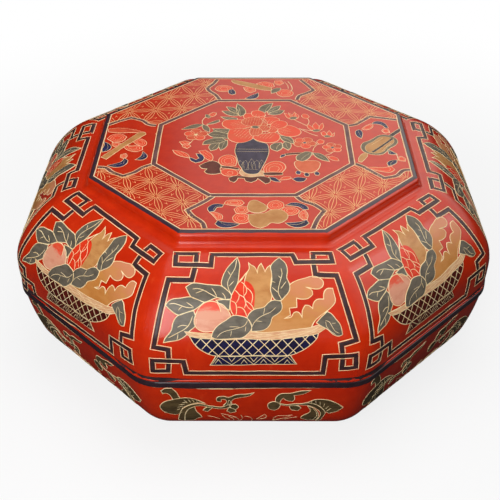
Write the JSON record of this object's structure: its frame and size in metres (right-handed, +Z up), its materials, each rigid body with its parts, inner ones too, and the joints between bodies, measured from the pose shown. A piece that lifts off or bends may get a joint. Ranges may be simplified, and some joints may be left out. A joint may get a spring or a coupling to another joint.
{
  "type": "octagonal lacquer gift box",
  "caption": "Wide, low octagonal lacquered wooden box with bulging curved panels, a raised flat plate on its lift-off lid and a locating lip in its mouth, for serving or giving sweets.",
  "frame": {"origin": "centre of the foot, on the plane that the box rests on", "axes": "+Z up through the middle of the lid, -Y out of the front panel, +X to the right seen from the front"},
  "size_m": [0.375, 0.375, 0.156],
  "materials": {
    "red_lacquer": "vermilion lacquer over wood, glossy",
    "black_lacquer": "purplish black lacquer band, semi-gloss",
    "inner_lacquer": "plain black lacquer inside, satin",
    "painted_ornament": "ornament painted on the lacquer in thin raised gold lines and flat colours"
  },
  "bodies": {
    "base": {"base_floor_board": "inner_lacquer", "base_panel_1": "red_lacquer", "base_panel_2": "red_lacquer", "base_panel_3": "red_lacquer", "base_panel_4": "red_lacquer", "base_panel_5": "red_lacquer", "base_panel_6": "red_lacquer", "base_panel_7": "red_lacquer", "base_panel_8": "red_lacquer", "rim_band_1": "black_lacquer", "rim_band_2": "black_lacquer", "rim_band_3": "black_lacquer", "rim_band_4": "black_lacquer", "rim_band_5": "black_lacquer", "rim_band_6": "black_lacquer", "rim_band_7": "black_lacquer", "rim_band_8": "black_lacquer", "locating_lip_1": "inner_lacquer", "locating_lip_2": "inner_lacquer", "locating_lip_3": "inner_lacquer", "locating_lip_4": "inner_lacquer", "locating_lip_5": "inner_lacquer", "locating_lip_6": "inner_lacquer", "locating_lip_7": "inner_lacquer", "locating_lip_8": "inner_lacquer"},
    "lid": {"lid_top_board": "red_lacquer", "lid_panel_1": "red_lacquer", "lid_panel_2": "red_lacquer", "lid_panel_3": "red_lacquer", "lid_panel_4": "red_lacquer", "lid_panel_5": "red_lacquer", "lid_panel_6": "red_lacquer", "lid_panel_7": "red_lacquer", "lid_panel_8": "red_lacquer"}
  },
  "joints": [
    {"name": "lid_lift", "type": "slide", "parent": "base", "child": "lid", "axis": [0, 0, 1], "range_m": [0, 0.15]}
  ]
}
